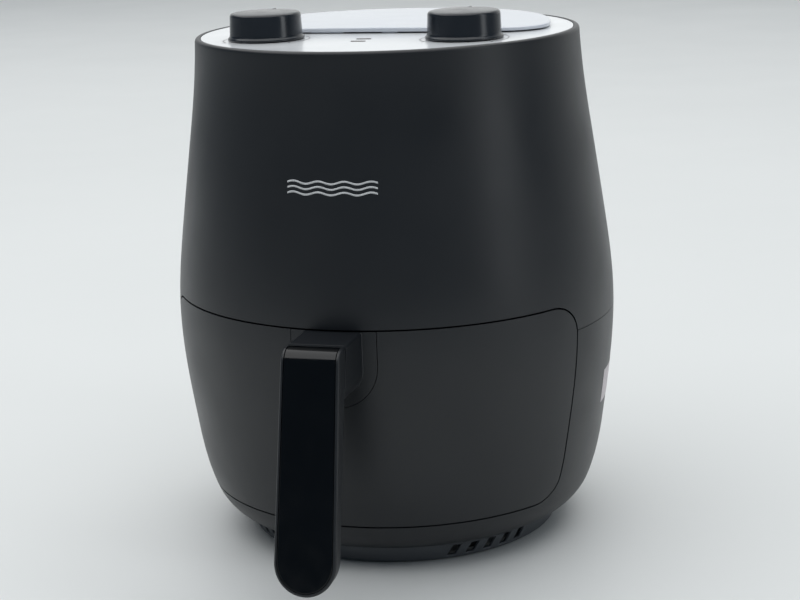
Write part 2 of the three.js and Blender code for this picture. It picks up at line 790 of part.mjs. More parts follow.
piece('top_panel', topPanel(), GLOSS_WHITE);
piece('air_inlet_cover', inletCover(), GLOSS_WHITE);
piece('air_inlet_grille', inletGrille(), MATT_BLACK);
piece('power_light', light(LIGHT_Y[0]), LENS);
piece('heating_light', light(LIGHT_Y[1]), LENS);
piece('temperature_knob', knob(-KNOB_X), GLOSS_BLACK);
piece('temperature_shaft', dialShaft(-KNOB_X, 287), STEEL);
piece('timer_knob', knob(KNOB_X), GLOSS_BLACK);
piece('timer_shaft', dialShaft(KNOB_X, 287), STEEL);
piece('control_bracket', controlBracket(), STEEL);
piece('thermostat', thermostat(), INSULATOR);
piece('timer', timer(), STEEL);
piece('timer_bell', timerBell(), STEEL);

piece('cooking_chamber', cookingChamber(), DARK_STEEL);
piece('chamber_ceiling', chamberCeiling(), DARK_STEEL);
piece('rail_left', rail(-1), DARK_STEEL);
piece('rail_right', rail(1), DARK_STEEL);
piece('heat_reflector', heatReflector(), STEEL);
piece('heating_element', heatingElement(), DARK_STEEL);
piece('element_guard', elementGuard(), STEEL);
piece('thermal_fuse', box([54, 36, REFLECTOR_TOP_Z + GAP], [68, 44, 217]), INSULATOR);
piece('exhaust_duct', exhaustDuct(), DARK_STEEL);
piece('exhaust_vent', exhaustVent(), MATT_BLACK);
piece('motor_bracket', motorBracket(), STEEL);
piece('motor', motor(), COPPER);
piece('motor_shaft', rod(SHAFT_RADIUS, 179, 268, 0, 0, 12), STEEL);
piece('hot_air_fan', bladedWheel(50, 186, 199, 8), STEEL);
piece('cooling_fan', bladedWheel(48, 216, 228, 7), STEEL);
piece('fan_nut', fanNut(), STEEL);

piece('drawer_front', drawerFront(), SATIN_BLACK);
piece('drawer_inner_cover', drawerInnerCover(), MATT_BLACK);
piece('pan', pan(), NONSTICK);
piece('handle_plate', handlePlate(), SATIN_BLACK);
piece('handle_neck', handleNeck(), SATIN_BLACK);
piece('handle_grip', handleGrip(), SATIN_BLACK);
piece('handle_face', handleFace(), GLOSS_BLACK);
piece('handle_screw_lower', handleScrew(HANDLE_SCREW_Z[0]), STEEL);
piece('handle_screw_upper', handleScrew(HANDLE_SCREW_Z[1]), STEEL);
const STRIKER_LOW = [SWITCH_X - 3, -55.2, SWITCH_Z - 3];
const STRIKER_HIGH = [SWITCH_X + 3, -49.9, SWITCH_Z + 3];
piece('switch_striker', box(STRIKER_LOW, STRIKER_HIGH), MATT_BLACK);
piece('drawer_switch', drawerSwitch(), MATT_BLACK);
piece('switch_plunger', rodY(1.8, -49.5, -36, SWITCH_X, SWITCH_Z), INSULATOR);

piece('crisper_tray', crisperTray(), NONSTICK);
for (const [index, degrees] of [45, 135, 225, 315].entries()) {
  piece(`tray_pad_${index + 1}`, trayPad(degrees), RUBBER);
}

export default airFryer;
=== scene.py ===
import math

import bmesh
import bpy
from mathutils import Matrix, Vector


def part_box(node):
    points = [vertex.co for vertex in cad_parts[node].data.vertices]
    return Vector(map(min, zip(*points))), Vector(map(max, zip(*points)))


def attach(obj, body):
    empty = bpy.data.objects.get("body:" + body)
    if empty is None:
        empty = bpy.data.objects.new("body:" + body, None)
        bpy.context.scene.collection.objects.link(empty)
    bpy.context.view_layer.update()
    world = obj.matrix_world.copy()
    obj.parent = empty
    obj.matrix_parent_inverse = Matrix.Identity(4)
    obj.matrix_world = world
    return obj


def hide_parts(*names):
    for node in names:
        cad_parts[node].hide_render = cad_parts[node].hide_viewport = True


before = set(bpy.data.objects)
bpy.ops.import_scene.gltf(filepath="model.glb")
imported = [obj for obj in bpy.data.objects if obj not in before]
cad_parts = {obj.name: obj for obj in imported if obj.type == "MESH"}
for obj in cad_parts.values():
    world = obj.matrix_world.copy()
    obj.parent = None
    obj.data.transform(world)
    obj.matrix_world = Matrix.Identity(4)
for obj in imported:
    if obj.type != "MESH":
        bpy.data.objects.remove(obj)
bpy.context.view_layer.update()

# Shapes are modelled in millimetres about the body's upright axis and end up in metres.
MM = 0.001
MERGE = 0.002
AXIS_Y = (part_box("top_panel")[0].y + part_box("top_panel")[1].y) / 2


def span(node):
    """Lowest and highest corner of a CAD node, in millimetres about the body's axis."""
    shift = Vector((0, AXIS_Y, 0))
    return [(corner - shift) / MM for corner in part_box(node)]


def centre_of(node):
    low, high = span(node)
    return (low.x + high.x) / 2, (low.y + high.y) / 2


# ---------- driving dimensions ----------

GAP = 0.3
WALL = 3
UPPER_WALL = 2.6
RIM_Z = span("upper_housing")[1].z
STEP_Z = span("lower_housing")[0].z
SEAM_Z = (span("lower_housing")[1].z + span("upper_housing")[0].z) / 2

# Outer skin above the base curl: height, radius and slope at each station.
SKIN = [
    (28, 118.8, 0.4), (65, 127.8, 0.14), (139, 135, 0),
    (195, 129.9, -0.14), (251, 121.8, -0.148), (RIM_Z, 116, -0.04),
]
# The curl under the belly, from the base ring up to the skin: radius and height.
CURL = [(100.2, STEP_Z), (108.6, 12.2), (116, 21), (118.8, 28)]
FLANGE_R = 84
LIP = 2
LIP_INNER_R = 112.8
PANEL_R = span("top_panel")[1].x

# The drawer's window seen from the side: a rounded rectangle open to the front.
WINDOW_BACK_Y = -53.3
WINDOW_LOW_Z = 31.5
WINDOW_TOP_Z = 153.5
WINDOW_TOP_CORNER = 19
WINDOW_LOW_CORNER = 14
WINDOW_GAP = 0.5

PLATE_HALF = 25
PLATE_ROUND_Z = 133
NECK_HALF = 16.8
NECK_ROUND_Z = 132
GRIP_TOP_HALF = 16.6
GRIP_LOW_HALF = 17.8
GRIP_TOP_Z = span("handle_grip")[1].z
GRIP_TIP_Z = span("handle_grip")[0].z
GRIP_TOP_Y = -174.84
GRIP_LEAN = 0.232
GRIP_REAR_Y = -162
GRIP_REAR_LEAN = 0.266
GRIP_BEND = 9
FACE_DEPTH = 1.5
FACE_INSET = 2
FACE_REAR_Y = -165.6

VENT_HALF = 36
VENT_LOW_Z = 186
VENT_TOP_Z = 230

# The inlet cover: a shallow D-shaped dome, with webs and a thin grille under its front.
COVER_REACH = (110, 68)
COVER_MIDDLE_Y = 39
COVER_DROP = 1.2
COVER_LOW_Z = 307.1
COVER_TOP_Z = 310.7
COVER_R = 99
COVER_CORNER = 26
COVER_EDGE = 1.1
GRILLE_INSETS = (5, 9)
GRILLE_THICKNESS = 0.5
# Dark openings under the cover's front edge, from one x to another.
INLET_OPENINGS = [(-66, -42), (-21.5, 2.5), (12, 36), (56, 80)]
RIB_DEPTH = 3.4
RIB_AHEAD = 2.7

# Dials, with the rounding and the slight crown of their tops.
SHAFT_HOLE_R = 5.5
KNOB_BORE_R = 3.4
KNOB_BORE_END = 5.7
KNOB_EDGE = 2
KNOB_EDGE_R = 18.9
KNOB_EDGE_DROP = 2.7
KNOB_CROWN = 0.55
# The foot of a dial, as radius and height above its lowest edge.
KNOB_FOOT = [(22.6, 0), (22.6, 0.7), (22.4, 1.2), (21.8, 1.7), (21.5, 2.3), (21.4, 3)]
POINTER_SIZE = (1.5, 5)
POINTER_R = 15.6
MARK_R = 25.5

# Base: the ring's lower and upper edge as (radius, height), and its slanted air slots in degrees.
RING_LOW = (96.2, 0.6)
RING_TOP = (98.9, 11.7)
RING_WALL = 2.2
SLOT_COUNT = 5
SLOT_FIRST = 33
SLOT_STEP = 7
SLOT_HALF = 1.55
SLOT_LOW_Z = 2.6
SLOT_TOP_Z = 8.8
SLOT_SLANT = 0.34
FLOOR_R = 95.2
FLOOR_LOW_Z = 8.7
FLOOR_SLOT = (52, 4)
FLOOR_SLOT_STEP = 12
SCREW_HOLE_R = 2.3
FOOT_TOP_Z = 8
CORNERS = ("front_left", "front_right", "rear_right", "rear_left")

# Crisper tray: circles of slots as (radius, how many, length).
TRAY_SLOTS = ((62, 12, 26), (34, 6, 22))
TRAY_SLOT_WIDTH = 4
TRAY_CENTRE_HOLE = 9
TRAY_DISC_R = 79.6
TRAY_SHEET = 1.5
PAD_HALF_THICK = 0.55
PAD_HALF_WIDE = 7


# ---------- modelling helpers ----------

def sheet(bm, rows, columns, place):
    """A grid of faces, each corner put where place(row, column) says."""
    grid = bmesh.ops.create_grid(bm, x_segments=columns, y_segments=rows, size=1)
    for corner in grid["verts"]:
        row = round((corner.co.y + 1) / 2 * rows)
        column = round((corner.co.x + 1) / 2 * columns)
        corner.co = Vector(place(row, column))


def weld(bm):
    bmesh.ops.remove_doubles(bm, verts=bm.verts, dist=MERGE)
    bmesh.ops.dissolve_degenerate(bm, dist=MERGE / 4, edges=bm.edges)
    bmesh.ops.recalc_face_normals(bm, faces=bm.faces)


def face_out(bm):
    """Turns an open shell so that its faces look away from the body's axis."""
    weld(bm)
    lean = 0
    for face in bm.faces:
        centre = face.calc_center_median()
        lean += face.calc_area() * (face.normal.x * centre.x + face.normal.y * centre.y)
    if lean < 0:
        bmesh.ops.reverse_faces(bm, faces=bm.faces)


def close_holes(bm):
    weld(bm)
    rim = [edge for edge in bm.edges if edge.is_boundary]
    bmesh.ops.holes_fill(bm, edges=rim, sides=0)
    bmesh.ops.recalc_face_normals(bm, faces=bm.faces)


def turned(points, steps=128, centre=(0, 0)):
    """A line of (radius, height) points turned about an upright axis."""
    bm = bmesh.new()
    x, y = centre
    corners = [bm.verts.new((x + radius, y, height)) for radius, height in points]
    line = [bm.edges.new(pair) for pair in zip(corners, corners[1:])]
    bmesh.ops.spin(
        bm, geom=corners + line, cent=(x, y, 0), axis=(0, 0, 1), dvec=(0, 0, 0),
        angle=2 * math.pi, steps=steps, use_merge=True)
    weld(bm)
    return bm


def loop_of(bm, points, height=0):
    corners = [bm.verts.new((x, y, height)) for x, y in points]
    return [bm.edges.new(pair) for pair in zip(corners, corners[1:] + corners[:1])]


def flat_plate(outline, holes, low, high):
    """A flat plate with an outline and holes given as (x, y) points."""
    bm = bmesh.new()
    edges = loop_of(bm, outline, low)
    for hole in holes:
        edges += loop_of(bm, hole, low)
    bmesh.ops.triangle_fill(bm, use_beauty=True, edges=edges)
    if not holes:
        bmesh.ops.dissolve_limit(
            bm, angle_limit=math.radians(1), verts=bm.verts, edges=bm.edges, delimit=set())
    raised = bmesh.ops.extrude_face_region(bm, geom=bm.faces[:], use_keep_orig=True)["geom"]
    lifted = [item for item in raised if isinstance(item, bmesh.types.BMVert)]
    bmesh.ops.translate(bm, vec=(0, 0, high - low), verts=lifted)
    weld(bm)
    return bm


def circle(radius, x=0, y=0, count=96):
    step = 2 * math.pi / count
    turns = [i * step for i in range(count)]
    return [(x + radius * math.cos(a), y + radius * math.sin(a)) for a in turns]


def arc(radius, x, y, start, end, count):
    """Points round part of a circle, from one angle to another in degrees."""
    angles = [math.radians(start + (end - start) * i / count) for i in range(count + 1)]
    return [(x + radius * math.cos(a), y + radius * math.sin(a)) for a in angles]


def slot_outline(length, width, x=0, y=0, turn=0, corner=None, count=6):
    """A rounded slot, centred and turned in degrees."""
    corner = width / 2 if corner is None else corner
    half_x, half_y = length / 2 - corner, width / 2 - corner
    points = []
    for quarter, (side_x, side_y) in enumerate([(1, 1), (-1, 1), (-1, -1), (1, -1)]):
        start = 90 * quarter
        points += arc(corner, side_x * half_x, side_y * half_y, start, start + 90, count)
    turned_by = Matrix.Rotation(math.radians(turn), 2)
    return [tuple(turned_by @ Vector(p) + Vector((x, y))) for p in points]


def add_part(target, part):
    """Joins one shape into another."""
    mesh = bpy.data.meshes.new("joined")
    part.to_mesh(mesh)
    part.free()
    target.from_mesh(mesh)
    bpy.data.meshes.remove(mesh)


def move(bm, x=0, y=0, z=0):
    bmesh.ops.translate(bm, vec=(x, y, z), verts=bm.verts)
    return bm


def block(low, high):
    bm = bmesh.new()
    bmesh.ops.create_cube(bm, size=1)
    size = [b - a for a, b in zip(low, high)]
    bmesh.ops.scale(bm, vec=size, verts=bm.verts)
    return move(bm, *[(a + b) / 2 for a, b in zip(low, high)])


def piece(bm, name, material, body, slot, *nodes, wall=0, rounding=0, steps=2):
    """Finishes a shape: into metres, with a wall and rounded edges, riding on a body."""
    bmesh.ops.scale(bm, vec=(MM, MM, MM), verts=bm.verts)
    bmesh.ops.translate(bm, vec=(0, AXIS_Y, 0), verts=bm.verts)
    mesh = bpy.data.meshes.new(name)
    bm.to_mesh(mesh)
    bm.free()
    mesh.shade_smooth()
    mesh.materials.append(material)
    obj = bpy.data.objects.new(name, mesh)
    bpy.context.scene.collection.objects.link(obj)
    if wall:
        thicken = obj.modifiers.new("wall", "SOLIDIFY")
        thicken.thickness = wall * MM
        thicken.offset = -1
        thicken.use_even_offset = True
    if rounding:
        rounded = obj.modifiers.new("rounded_edges", "BEVEL")
        rounded.width = rounding * MM
        rounded.segments = steps
        rounded.limit_method = "ANGLE"
        rounded.angle_limit = math.radians(40)
        rounded.use_clamp_overlap = True
    obj.modifiers.new("even_shading", "WEIGHTED_NORMAL").keep_sharp = True
    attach(obj, body)
    if nodes:
        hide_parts(*nodes)
    return obj


# ---------- materials ----------

def finish(name, color, roughness, **sockets):
    """A material with its plain values set on the shader."""
    material = bpy.data.materials.new(name)
    material.use_nodes = True
    shader = material.node_tree.nodes["Principled BSDF"]
    shader.inputs["Base Color"].default_value = (*color, 1)
    shader.inputs["Roughness"].default_value = roughness
    for socket, value in sockets.items():
        shader.inputs[socket.replace("_", " ")].default_value = value
    return material


def node(material, kind, **values):
    made = material.node_tree.nodes.new(kind)
    for name, value in values.items():
        setattr(made, name, value)
    return made


def link(material, source, target):
    material.node_tree.links.new(source, target)


def shader_of(material):
    return material.node_tree.nodes["Principled BSDF"]


def object_place(material, stretch=(1, 1, 1)):
    """Object coordinates, stretched along an axis where the pattern is."""
    coordinates = node(material, "ShaderNodeTexCoord")
    mapping = node(material, "ShaderNodeMapping")
    mapping.inputs["Scale"].default_value = stretch
    link(material, coordinates.outputs["Object"], mapping.inputs["Vector"])
    return mapping.outputs["Vector"]


def noise(material, scale, detail=3, roughness=0.5, stretch=(1, 1, 1)):
    made = node(material, "ShaderNodeTexNoise")
    made.inputs["Scale"].default_value = scale
    made.inputs["Detail"].default_value = detail
    made.inputs["Roughness"].default_value = roughness
    link(material, object_place(material, stretch), made.inputs["Vector"])
    return made.outputs["Fac"]


def ranged(material, source, low, high, start=0.3, end=0.7):
    made = node(material, "ShaderNodeMapRange")
    limits = {"From Min": start, "From Max": end, "To Min": low, "To Max": high}
    for socket, value in limits.items():
        made.inputs[socket].default_value = value
    link(material, source, made.inputs["Value"])
    return made.outputs["Result"]


def vary_roughness(material, low, high, scale, **pattern):
    spread = ranged(material, noise(material, scale, **pattern), low, high)
    link(material, spread, shader_of(material).inputs["Roughness"])


def vary_color(material, first, second, scale, start=0.35, end=0.65, **pattern):
    ramp = node(material, "ShaderNodeValToRGB")
    ramp.color_ramp.elements[0].position = start
    ramp.color_ramp.elements[1].position = end
    ramp.color_ramp.elements[0].color = (*first, 1)
    ramp.color_ramp.elements[1].color = (*second, 1)
    link(material, noise(material, scale, **pattern), ramp.inputs["Fac"])
    link(material, ramp.outputs["Color"], shader_of(material).inputs["Base Color"])


def raise_grain(material, scale, depth, strength=1, **pattern):
    """Fine surface relief, its depth in metres."""
    bump = node(material, "ShaderNodeBump")
    bump.inputs["Strength"].default_value = strength
    bump.inputs["Distance"].default_value = depth
    link(material, noise(material, scale, **pattern), bump.inputs["Height"])
    link(material, bump.outputs["Normal"], shader_of(material).inputs["Normal"])


def satin_shell():
    made = finish("satin_black_plastic", (0.0055, 0.0073, 0.0098), 0.4)
    vary_color(made, (0.0046, 0.0063, 0.0087), (0.0066, 0.0085, 0.0112), 14, detail=5)
    vary_roughness(made, 0.36, 0.44, 22, detail=6)
    raise_grain(made, 2600, 0.00004, 0.35, detail=2)
    return made


def matt_plastic():
    made = finish("matt_black_plastic", (0.012, 0.012, 0.013), 0.6)
    vary_color(made, (0.009, 0.009, 0.010), (0.016, 0.016, 0.017), 30, detail=5)
    vary_roughness(made, 0.52, 0.66, 60, detail=5)
    raise_grain(made, 1800, 0.00006, 0.5, detail=2)
    return made


def base_plastic_with_painted_bounce():
    """The base ring's black, painted greyer than the body's: painted light in place of the floor's
    bounce on its shaded band.
    """
    made = finish("base_black_painted_bounce_light", (0.07, 0.077, 0.085), 0.42)
    vary_color(made, (0.065, 0.072, 0.08), (0.075, 0.082, 0.09), 14, detail=5)
    vary_roughness(made, 0.38, 0.48, 22, detail=6)
    raise_grain(made, 2600, 0.00004, 0.35, detail=2)
    return made


def gloss_plastic():
    """The dials' black, which keeps a soft reflection."""
    made = finish("gloss_black_plastic", (0.012, 0.0155, 0.0205), 0.2)
    vary_color(made, (0.010, 0.0135, 0.0185), (0.014, 0.0175, 0.0225), 40, detail=4)
    vary_roughness(made, 0.17, 0.25, 90, detail=6)
    raise_grain(made, 220, 0.00002, 0.1, detail=2)
    return made


def piano_plastic():
    """The deep black of the handle's face."""
    made = finish("piano_black_plastic", (0.0006, 0.001, 0.0016), 0.1, Specular_IOR_Level=0.4)
    vary_color(made, (0.0004, 0.0008, 0.0013), (0.0008, 0.0013, 0.002), 30, detail=4)
    vary_roughness(made, 0.07, 0.16, 90, detail=6)
    raise_grain(made, 220, 0.00002, 0.1, detail=2)
    return made


def white_plastic(name, color):
    made = finish(name, color, 0.2, Coat_Weight=0.25, Coat_Roughness=0.08)
    shade = tuple(0.985 * c for c in color)
    vary_color(made, shade, color, 9, detail=2)
    vary_roughness(made, 0.2, 0.26, 30, detail=3)
    raise_grain(made, 900, 0.00001, 0.1, detail=2)
    return made


def smoked_plastic():
    made = finish("smoked_lens_plastic", (0.11, 0.095, 0.088), 0.12,
                  Coat_Weight=0.6, Coat_Roughness=0.03)
    vary_color(made, (0.085, 0.072, 0.066), (0.14, 0.12, 0.112), 500, detail=3)
    vary_roughness(made, 0.1, 0.2, 400, detail=3)
    return made


def rubber_finish(name, color):
    made = finish(name, color, 0.8)
    shade = tuple(0.7 * c for c in color)
    vary_color(made, shade, color, 160, detail=5)
    vary_roughness(made, 0.7, 0.9, 120, detail=4)
    raise_grain(made, 1500, 0.00008, 0.6, detail=3)
    return made


def nonstick():
    made = finish("nonstick_coating", (0.018, 0.018, 0.019), 0.38, Specular_IOR_Level=0.55)
    vary_color(made, (0.016, 0.016, 0.017), (0.07, 0.07, 0.072), 1900,
               start=0.62, end=0.72, detail=1)
    vary_roughness(made, 0.3, 0.45, 120, detail=4)
    raise_grain(made, 900, 0.00005, 0.35, detail=3)
    return made


def steel(name, color, roughness, stretch=(1, 1, 24)):
    """Drawn sheet or rod, with fine lines across the stretch."""
    made = finish(name, color, roughness, Metallic=1.0)
    shade = tuple(0.8 * c for c in color)
    vary_color(made, shade, color, 60, detail=5, stretch=stretch)
    vary_roughness(made, roughness - 0.08, roughness + 0.1, 90, detail=5, stretch=stretch)
    raise_grain(made, 400, 0.00003, 0.25, detail=4, stretch=stretch)
    return made


def heated_steel():
    """The heating tube: brown and blue where it runs hot."""
    made = finish("element_steel", (0.16, 0.12, 0.1), 0.42, Metallic=1.0)
    vary_color(made, (0.2, 0.13, 0.075), (0.085, 0.088, 0.12), 45, detail=4)
    vary_roughness(made, 0.34, 0.55, 150, detail=4)
    raise_grain(made, 900, 0.00004, 0.4, detail=3)
    return made


def resin():
    made = finish("insulator_resin", (0.62, 0.55, 0.42), 0.5)
    vary_color(made, (0.56, 0.49, 0.37), (0.66, 0.59, 0.46), 90, detail=5)
    vary_roughness(made, 0.42, 0.58, 150, detail=4)
    raise_grain(made, 1200, 0.00005, 0.4, detail=3)
    return made


def laminations():
    """Stacked motor plates, seen as fine level lines."""
    made = finish("motor_laminations", (0.25, 0.24, 0.23), 0.45, Metallic=0.9)
    bands = node(made, "ShaderNodeTexWave", bands_direction="Z")
    bands.inputs["Scale"].default_value = 320
    bands.inputs["Distortion"].default_value = 0.2
    link(made, object_place(made), bands.inputs["Vector"])
    ramp = node(made, "ShaderNodeValToRGB")
    ramp.color_ramp.elements[0].color = (0.09, 0.085, 0.08, 1)
    ramp.color_ramp.elements[1].color = (0.33, 0.31, 0.29, 1)
    link(made, bands.outputs["Fac"], ramp.inputs["Fac"])
    link(made, ramp.outputs["Color"], shader_of(made).inputs["Base Color"])
    vary_roughness(made, 0.35, 0.55, 200, detail=3)
    return made


def print_ink(name, color, roughness):
    made = finish(name, color, roughness)
    shade = tuple(0.86 * c for c in color)
    vary_color(made, shade, color, 900, detail=4)
    vary_roughness(made, roughness - 0.08, roughness + 0.08, 700, detail=3)
    return made


def floor_finish():
    made = finish("pale_floor", (0.68, 0.69, 0.68), 0.55)
    vary_color(made, (0.67, 0.685, 0.675), (0.69, 0.705, 0.695), 1.2, detail=3)
    vary_roughness(made, 0.45, 0.55, 6, detail=3)
    return made


SATIN = satin_shell()
MATT = matt_plastic()
BASE_BLACK_WITH_PAINTED_BOUNCE = base_plastic_with_painted_bounce()
# The base ring's greyer black is painted floor-bounce light, not its own tone.
GLOSS = gloss_plastic()
PIANO = piano_plastic()
PANEL_WHITE = white_plastic("gloss_white_plastic", (0.74, 0.76, 0.775))
COVER_WHITE = white_plastic("cool_white_plastic", (0.60, 0.63, 0.68))
LENS = smoked_plastic()
RUBBER = rubber_finish("black_rubber", (0.012, 0.012, 0.012))
SILICONE = rubber_finish("grey_silicone", (0.05, 0.05, 0.052))
NONSTICK = nonstick()
BRIGHT_STEEL = steel("bright_steel", (0.62, 0.62, 0.61), 0.3)
CHAMBER_STEEL = steel("chamber_steel", (0.3, 0.3, 0.3), 0.42)
ELEMENT_STEEL = heated_steel()
INSULATOR = resin()
MOTOR_STEEL = laminations()
MARK_INK = print_ink("pale_grey_ink", (0.62, 0.63, 0.64), 0.35)
DIAL_INK = print_ink("dark_grey_ink", (0.09, 0.09, 0.1), 0.4)
LABEL_PAPER = print_ink("label_paper", (0.7, 0.64, 0.66), 0.55)


# ---------- body skin ----------

def skin_radius(z):
    """Radius of the outer skin at a height: a smooth curve through the stations."""
    i = 0
    while i < len(SKIN) - 2 and z > SKIN[i + 1][0]:
        i += 1
    z0, r0, m0 = SKIN[i]
    z1, r1, m1 = SKIN[i + 1]
    t = (z - z0) / (z1 - z0)
    bow = (z1 - z0) * t * (1 - t) * ((1 - t) * m0 - t * m1)
    return r0 + (r1 - r0) * t * t * (3 - 2 * t) + bow


def at_radius(radius, z, angle):
    """A point round the body's axis. The angle runs from the front towards +X."""
    return radius * math.sin(angle), -radius * math.cos(angle), z


def on_skin(z, angle, proud=0):
    return at_radius(skin_radius(z) + proud, z, angle)


def curl_point(t):
    (r0, z0), (r1, z1), (r2, z2), (r3, z3) = CURL
    a, b, c, d = (1 - t) ** 3, 3 * t * (1 - t) ** 2, 3 * t * t * (1 - t), t ** 3
    return a * r0 + b * r1 + c * r2 + d * r3, a * z0 + b * z1 + c * z2 + d * z3


def window_angle(z, grow):
    """How far round from the front the drawer's window reaches at a height."""
    back = WINDOW_BACK_Y + grow
    top_corner, low_corner = WINDOW_TOP_CORNER + grow, WINDOW_LOW_CORNER + grow
    top_centre = WINDOW_TOP_Z + grow - top_corner
    low_centre = WINDOW_LOW_Z - grow + low_corner
    if z > top_centre:
        back += math.sqrt(max(top_corner ** 2 - (z - top_centre) ** 2, 0)) - top_corner
    elif z < low_centre:
        back += math.sqrt(max(low_corner ** 2 - (low_centre - z) ** 2, 0)) - low_corner
    return math.acos(-back / skin_radius(z))


def corner_levels(centre, radius, start, end, count):
    """Heights round a corner, close together where it turns level."""
    first, last = math.asin((start - centre) / radius), math.asin((end - centre) / radius)
    return [centre + radius * math.sin(turn) for turn in levels(first, last, count)]


def levels(start, end, count):
    return [start + (end - start) * i / count for i in range(count + 1)]


FRONT_COLUMNS = 72
REAR_COLUMNS = 60
VENT_COLUMNS = 24


def lip_rows():
    """The rounded rim of the upper housing, as (radius, height) points."""
    centre_r = SKIN[-1][1] - LIP
    rows = [(centre_r + LIP * math.cos(a), RIM_Z - LIP + LIP * math.sin(a))
            for a in levels(math.pi / 16, math.pi / 2, 7)]
    rows += [(LIP_INNER_R + 0.4, RIM_Z), (LIP_INNER_R, RIM_Z - 0.4)]
    return rows + [(LIP_INNER_R, RIM_Z - 2.5)]


def vent_angle(z):
    return math.pi - math.asin(VENT_HALF / skin_radius(z))


def upper_housing():
    top = WINDOW_TOP_Z + WINDOW_GAP
    corner = WINDOW_TOP_CORNER + WINDOW_GAP
    beside = corner_levels(top - corner, corner, SEAM_Z + GAP / 2, top, 14)
    above = levels(top, VENT_LOW_Z, 8)[1:] + levels(VENT_LOW_Z, VENT_TOP_Z, 11)[1:]
    above += levels(VENT_TOP_Z, RIM_Z - LIP, 20)[1:]
    rows = [(skin_radius(z), z, window_angle(z, WINDOW_GAP)) for z in beside + above]
    side = rows[len(beside) - 1][2]
    rows = rows[:len(beside)] + [(r, z, side) for r, z, _ in rows[len(beside):]]
    rows += [(r, z, side) for r, z in lip_rows()]
    bm = bmesh.new()

    def band(columns, start, end, first=0):
        """A band of skin between two angles that may change with height."""
        def place(i, j):
            radius, z, edge = rows[first + i]
            a, b = start(z, edge), end(z, edge)
            return at_radius(radius, z, a + (b - a) * j / columns)
        sheet(bm, len(rows) - 1 - first, columns, place)

    def vent(z):
        return vent_angle(min(max(z, VENT_LOW_Z), VENT_TOP_Z))

    band(REAR_COLUMNS, lambda z, edge: edge, lambda z, edge: vent(z))
    band(VENT_COLUMNS, lambda z, edge: vent(z), lambda z, edge: 2 * math.pi - vent(z))
    band(REAR_COLUMNS, lambda z, edge: 2 * math.pi - vent(z), lambda z, edge: 2 * math.pi - edge)
    band(FRONT_COLUMNS, lambda z, edge: -edge, lambda z, edge: edge, first=len(beside) - 1)
    weld(bm)
    opening = [face for face in bm.faces if in_vent(face.calc_center_median())]
    bmesh.ops.delete(bm, geom=opening, context="FACES")
    face_out(bm)
    return bm


def in_vent(point):
    return point.y > 0 and abs(point.x) < VENT_HALF and VENT_LOW_Z < point.z < VENT_TOP_Z


def lower_housing():
    low = WINDOW_LOW_Z - WINDOW_GAP
    corner = WINDOW_LOW_CORNER + WINDOW_GAP
    top_corner = WINDOW_TOP_CORNER + WINDOW_GAP
    top_centre = WINDOW_TOP_Z + WINDOW_GAP - top_corner
    curl = [(FLANGE_R, STEP_Z), (93, STEP_Z)] + [curl_point(t) for t in levels(0, 1, 14)]
    curl += [(skin_radius(z), z) for z in levels(28, low, 2)[1:-1]]
    beside = corner_levels(low + corner, corner, low, low + corner, 12)
    beside += levels(low + corner, top_centre, 22)[1:] + [SEAM_Z - GAP / 2]
    side = window_angle(low, WINDOW_GAP)
    rows = [(r, z, side) for r, z in curl]
    below = len(rows) + 1
    rows += [(skin_radius(z), z, window_angle(z, WINDOW_GAP)) for z in beside]
    columns = 2 * REAR_COLUMNS + VENT_COLUMNS
    bm = bmesh.new()

    def round_the_back(i, j):
        radius, z, edge = rows[i]
        return at_radius(radius, z, edge + (2 * math.pi - 2 * edge) * j / columns)

    def under_the_drawer(i, j):
        radius, z, edge = rows[i]
        return at_radius(radius, z, -edge + 2 * edge * j / FRONT_COLUMNS)

    sheet(bm, len(rows) - 1, columns, round_the_back)
    sheet(bm, below - 1, FRONT_COLUMNS, under_the_drawer)
    face_out(bm)
    return bm


def plate_half(z, half):
    """Half the width of the round-ended handle plate at a height."""
    if z >= PLATE_ROUND_Z:
        return half
    return math.sqrt(max(half ** 2 - (PLATE_ROUND_Z - z) ** 2, 0))


def drawer_front():
    low, top = WINDOW_LOW_Z + WINDOW_GAP, WINDOW_TOP_Z - WINDOW_GAP
    low_corner, top_corner = WINDOW_LOW_CORNER - WINDOW_GAP, WINDOW_TOP_CORNER - WINDOW_GAP
    half = PLATE_HALF + GAP
    foot = PLATE_ROUND_Z - half
    heights = corner_levels(low + low_corner, low_corner, low, low + low_corner, 12)
    heights += levels(low + low_corner, foot, 16)[1:]
    heights += corner_levels(PLATE_ROUND_Z, half, foot, PLATE_ROUND_Z, 22)[1:]
    heights += corner_levels(top - top_corner, top_corner, top - top_corner, top, 14)
    bm = bmesh.new()
    columns = FRONT_COLUMNS // 2
    for side in (-1, 1):
        def place(i, j):
            z = heights[i]
            near = math.asin(plate_half(z, half) / skin_radius(z)) if z > foot else 0
            far = window_angle(z, -WINDOW_GAP)
            return on_skin(z, side * (near + (far - near) * j / columns))
        sheet(bm, len(heights) - 1, columns, place)
    face_out(bm)
    return bm


def handle_plate():
    foot = PLATE_ROUND_Z - PLATE_HALF
    heights = corner_levels(PLATE_ROUND_Z, PLATE_HALF, foot, PLATE_ROUND_Z, 22)
    heights += levels(PLATE_ROUND_Z, WINDOW_TOP_Z - WINDOW_GAP, 8)[1:]
    columns = 24
    bm = bmesh.new()

    def place(i, j):
        z = heights[i]
        reach = math.asin(plate_half(z, PLATE_HALF) / skin_radius(z))
        return on_skin(z, reach * (2 * j / columns - 1))

    sheet(bm, len(heights) - 1, columns, place)
    face_out(bm)
    return bm


